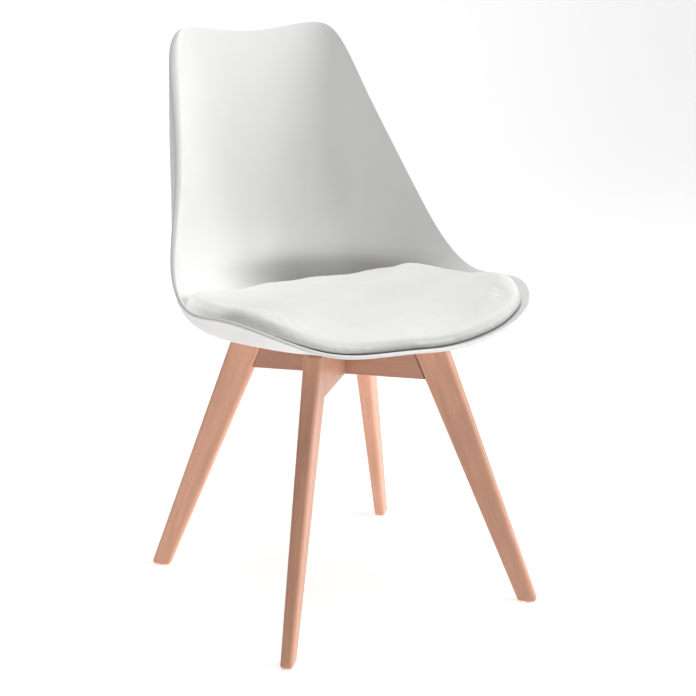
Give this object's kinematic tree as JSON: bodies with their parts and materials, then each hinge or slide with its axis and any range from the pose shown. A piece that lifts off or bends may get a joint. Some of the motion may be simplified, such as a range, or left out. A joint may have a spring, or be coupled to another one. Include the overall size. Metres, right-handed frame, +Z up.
{
  "type": "dining chair",
  "caption": "White moulded tub dining chair with a loose padded seat on a crossed beech base of raked tapered legs",
  "frame": {"origin": "on the floor, under the middle of the chair's outline", "axes": "front of the chair faces -Y, +X is the sitter's left, +Z is up"},
  "size_m": [0.4941, 0.5066, 0.8202],
  "materials": {
    "tub": "smooth satin",
    "pad_leather": "soft smooth synthetic leather",
    "foam": "open foam",
    "plywood": "raw plywood",
    "beech": "clear satin lacquer",
    "dowel_wood": "raw wood",
    "steel": "zinc plated",
    "brass": "turned",
    "spacer_rubber": "matt",
    "glide_plastic": "matt"
  },
  "bodies": {
    "root": {"seat_shell": "tub", "pad_cover": "pad_leather", "pad_foam": "foam", "pad_board": "plywood", "pad_screws": "steel", "cross_bar_lower": "beech", "cross_bar_upper": "beech", "lock_screw": "steel", "knee_dowels": "dowel_wood", "mounting_bolts": "steel", "bolt_washers": "steel", "seat_spacers": "spacer_rubber", "thread_inserts": "brass", "leg_front_left": "beech", "glide_front_left": "glide_plastic", "leg_front_right": "beech", "glide_front_right": "glide_plastic", "leg_rear_left": "beech", "glide_rear_left": "glide_plastic", "leg_rear_right": "beech", "glide_rear_right": "glide_plastic"}
  },
  "joints": []
}
